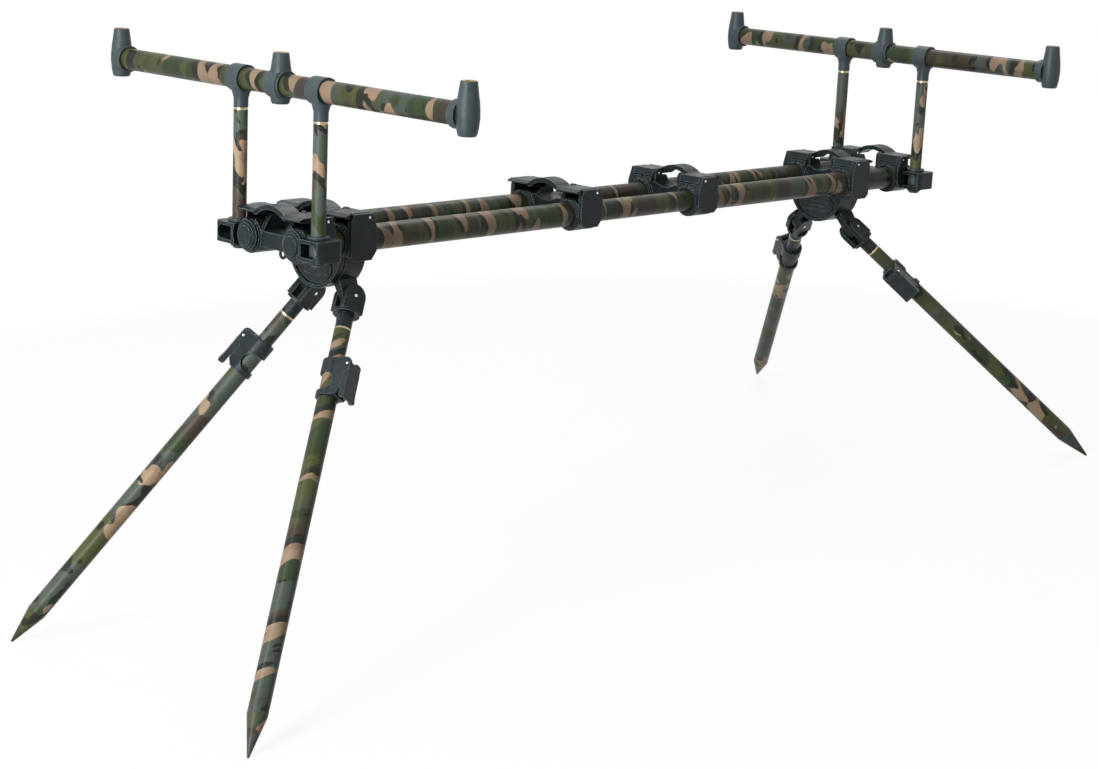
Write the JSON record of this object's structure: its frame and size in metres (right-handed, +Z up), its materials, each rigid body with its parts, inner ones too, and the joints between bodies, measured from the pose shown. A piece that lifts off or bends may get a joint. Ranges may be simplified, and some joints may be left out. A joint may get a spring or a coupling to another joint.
{
  "type": "rod pod",
  "caption": "Camouflage angling rod pod with twin telescopic tubes, arched cam clamps, folding spiked legs and lift-out rest bars with threaded posts.",
  "frame": {"origin": "middle of the footprint on the ground that the four spikes stand on", "axes": "+X from the front bar to the rear bar along the pod, +Y to the right side seen from the rear looking forward, +Z up"},
  "size_m": [1.1612, 0.5004, 0.5449],
  "materials": {
    "camo_tube": "satin camouflage paint on aluminium tube",
    "moulded_black": "fine-grained slate black glass-filled moulding",
    "pin_steel": "bright ground pin",
    "insert_brass": "turned brass"
  },
  "bodies": {
    "front_frame": {"front_left_tube": "camo_tube", "front_right_tube": "camo_tube", "front_tube_caps": "moulded_black", "front_rest_clamp": "moulded_black", "front_leg_clamp": "moulded_black", "front_leg_block": "moulded_black", "front_frame_clamp": "moulded_black", "front_pins": "pin_steel"},
    "rear_frame": {"rear_left_tube": "camo_tube", "rear_right_tube": "camo_tube", "rear_tube_caps": "moulded_black", "rear_rest_clamp": "moulded_black", "rear_leg_clamp": "moulded_black", "rear_leg_block": "moulded_black", "rear_frame_clamp": "moulded_black", "rear_pins": "pin_steel"},
    "inner_frame": {"inner_tubes": "camo_tube", "inner_plugs": "moulded_black"},
    "front_rest_clamp_lever": {"front_rest_clamp_lever": "moulded_black"},
    "front_leg_clamp_lever": {"front_leg_clamp_lever": "moulded_black"},
    "front_frame_clamp_lever": {"front_frame_clamp_lever": "moulded_black"},
    "rear_rest_clamp_lever": {"rear_rest_clamp_lever": "moulded_black"},
    "rear_leg_clamp_lever": {"rear_leg_clamp_lever": "moulded_black"},
    "rear_frame_clamp_lever": {"rear_frame_clamp_lever": "moulded_black"},
    "front_left_leg_upper": {"front_left_leg_knuckle": "moulded_black", "front_left_leg_upper_tube": "camo_tube"},
    "front_left_leg_lower": {"front_left_leg_collar": "moulded_black", "front_left_leg_lower_tube": "camo_tube", "front_left_leg_spike": "camo_tube"},
    "front_left_leg_lever": {"front_left_leg_lever": "moulded_black"},
    "front_right_leg_upper": {"front_right_leg_knuckle": "moulded_black", "front_right_leg_upper_tube": "camo_tube"},
    "front_right_leg_lower": {"front_right_leg_collar": "moulded_black", "front_right_leg_lower_tube": "camo_tube", "front_right_leg_spike": "camo_tube"},
    "front_right_leg_lever": {"front_right_leg_lever": "moulded_black"},
    "rear_left_leg_upper": {"rear_left_leg_knuckle": "moulded_black", "rear_left_leg_upper_tube": "camo_tube"},
    "rear_left_leg_lower": {"rear_left_leg_collar": "moulded_black", "rear_left_leg_lower_tube": "camo_tube", "rear_left_leg_spike": "camo_tube"},
    "rear_left_leg_lever": {"rear_left_leg_lever": "moulded_black"},
    "rear_right_leg_upper": {"rear_right_leg_knuckle": "moulded_black", "rear_right_leg_upper_tube": "camo_tube"},
    "rear_right_leg_lower": {"rear_right_leg_collar": "moulded_black", "rear_right_leg_lower_tube": "camo_tube", "rear_right_leg_spike": "camo_tube"},
    "rear_right_leg_lever": {"rear_right_leg_lever": "moulded_black"},
    "front_bar_set": {"front_bar": "camo_tube", "front_bar_posts": "moulded_black", "front_bar_tees": "moulded_black", "front_bar_uprights": "camo_tube", "front_bar_feet": "moulded_black", "front_bar_inserts": "insert_brass"},
    "rear_bar_set": {"rear_bar": "camo_tube", "rear_bar_posts": "moulded_black", "rear_bar_tees": "moulded_black", "rear_bar_uprights": "camo_tube", "rear_bar_feet": "moulded_black", "rear_bar_inserts": "insert_brass"}
  },
  "joints": [
    {"name": "inner_frame_slide", "type": "slide", "parent": "front_frame", "child": "inner_frame", "axis": [0.997, 0, -0.0768], "range_m": [-0.066, 0.12]},
    {"name": "rear_frame_slide", "type": "slide", "parent": "inner_frame", "child": "rear_frame", "axis": [0.997, 0, -0.0768], "range_m": [-0.066, 0.12]},
    {"name": "front_rest_clamp_lever_hinge", "type": "hinge", "parent": "front_frame", "child": "front_rest_clamp_lever", "pos_m": [-0.36766, 0, 0.39952], "axis": [0, 1, 0], "range_deg": [0, 100]},
    {"name": "front_leg_clamp_lever_hinge", "type": "hinge", "parent": "front_frame", "child": "front_leg_clamp_lever", "pos_m": [-0.31981, 0, 0.39583], "axis": [0, 1, 0], "range_deg": [0, 100]},
    {"name": "front_frame_clamp_lever_hinge", "type": "hinge", "parent": "front_frame", "child": "front_frame_clamp_lever", "pos_m": [-0.02667, 0, 0.37327], "axis": [0, 1, 0], "range_deg": [0, 100]},
    {"name": "rear_rest_clamp_lever_hinge", "type": "hinge", "parent": "rear_frame", "child": "rear_rest_clamp_lever", "pos_m": [0.47584, 0, 0.33458], "axis": [0, -1, 0], "range_deg": [0, 100]},
    {"name": "rear_leg_clamp_lever_hinge", "type": "hinge", "parent": "rear_frame", "child": "rear_leg_clamp_lever", "pos_m": [0.39309, 0, 0.34095], "axis": [0, -1, 0], "range_deg": [0, 100]},
    {"name": "rear_frame_clamp_lever_hinge", "type": "hinge", "parent": "rear_frame", "child": "rear_frame_clamp_lever", "pos_m": [0.13485, 0, 0.36083], "axis": [0, -1, 0], "range_deg": [0, 100]},
    {"name": "front_left_leg_fold", "type": "hinge", "parent": "front_frame", "child": "front_left_leg_upper", "pos_m": [-0.3285, -0.0282, 0.31938], "axis": [0.0312, -0.9135, 0.4055], "range_deg": [0, 116]},
    {"name": "front_left_leg_slide", "type": "slide", "parent": "front_left_leg_upper", "child": "front_left_leg_lower", "axis": [-0.5807, -0.3468, -0.7365], "range_m": [-0.024, 0.2]},
    {"name": "front_left_leg_lever_hinge", "type": "hinge", "parent": "front_left_leg_lower", "child": "front_left_leg_lever", "pos_m": [-0.36361, -0.07065, 0.26957], "axis": [-0.7366, -0.1613, 0.6568], "range_deg": [0, 95]},
    {"name": "front_right_leg_fold", "type": "hinge", "parent": "front_frame", "child": "front_right_leg_upper", "pos_m": [-0.3285, 0.0282, 0.31938], "axis": [-0.0312, -0.9135, -0.4055], "range_deg": [0, 116]},
    {"name": "front_right_leg_slide", "type": "slide", "parent": "front_right_leg_upper", "child": "front_right_leg_lower", "axis": [-0.5807, 0.3468, -0.7365], "range_m": [-0.024, 0.2]},
    {"name": "front_right_leg_lever_hinge", "type": "hinge", "parent": "front_right_leg_lower", "child": "front_right_leg_lever", "pos_m": [-0.37968, 0.0638, 0.27901], "axis": [0.6432, 0.75, -0.154], "range_deg": [0, 95]},
    {"name": "rear_left_leg_fold", "type": "hinge", "parent": "rear_frame", "child": "rear_left_leg_upper", "pos_m": [0.40094, -0.0379, 0.26322], "axis": [-0.0493, 0.766, -0.6409], "range_deg": [0, 106]},
    {"name": "rear_left_leg_slide", "type": "slide", "parent": "rear_left_leg_upper", "child": "rear_left_leg_lower", "axis": [0.4708, -0.5481, -0.6913], "range_m": [-0.024, 0.17]},
    {"name": "rear_left_leg_lever_hinge", "type": "hinge", "parent": "rear_left_leg_lower", "child": "rear_left_leg_lever", "pos_m": [0.41609, -0.08411, 0.21499], "axis": [-0.2902, 0.6438, -0.708], "range_deg": [0, 95]},
    {"name": "rear_right_leg_fold", "type": "hinge", "parent": "rear_frame", "child": "rear_right_leg_upper", "pos_m": [0.40094, 0.0379, 0.26322], "axis": [0.0493, 0.766, 0.6409], "range_deg": [0, 106]},
    {"name": "rear_right_leg_slide", "type": "slide", "parent": "rear_right_leg_upper", "child": "rear_right_leg_lower", "axis": [0.4708, 0.5481, -0.6913], "range_m": [-0.024, 0.17]},
    {"name": "rear_right_leg_lever_hinge", "type": "hinge", "parent": "rear_right_leg_lower", "child": "rear_right_leg_lever", "pos_m": [0.43489, 0.08763, 0.23059], "axis": [0.8683, -0.4267, 0.253], "range_deg": [0, 95]},
    {"name": "front_bar_lift", "type": "slide", "parent": "front_frame", "child": "front_bar_set", "axis": [0.0768, 0, 0.997], "range_m": [0, 0.03]},
    {"name": "rear_bar_lift", "type": "slide", "parent": "rear_frame", "child": "rear_bar_set", "axis": [0.0768, 0, 0.997], "range_m": [0, 0.03]}
  ]
}
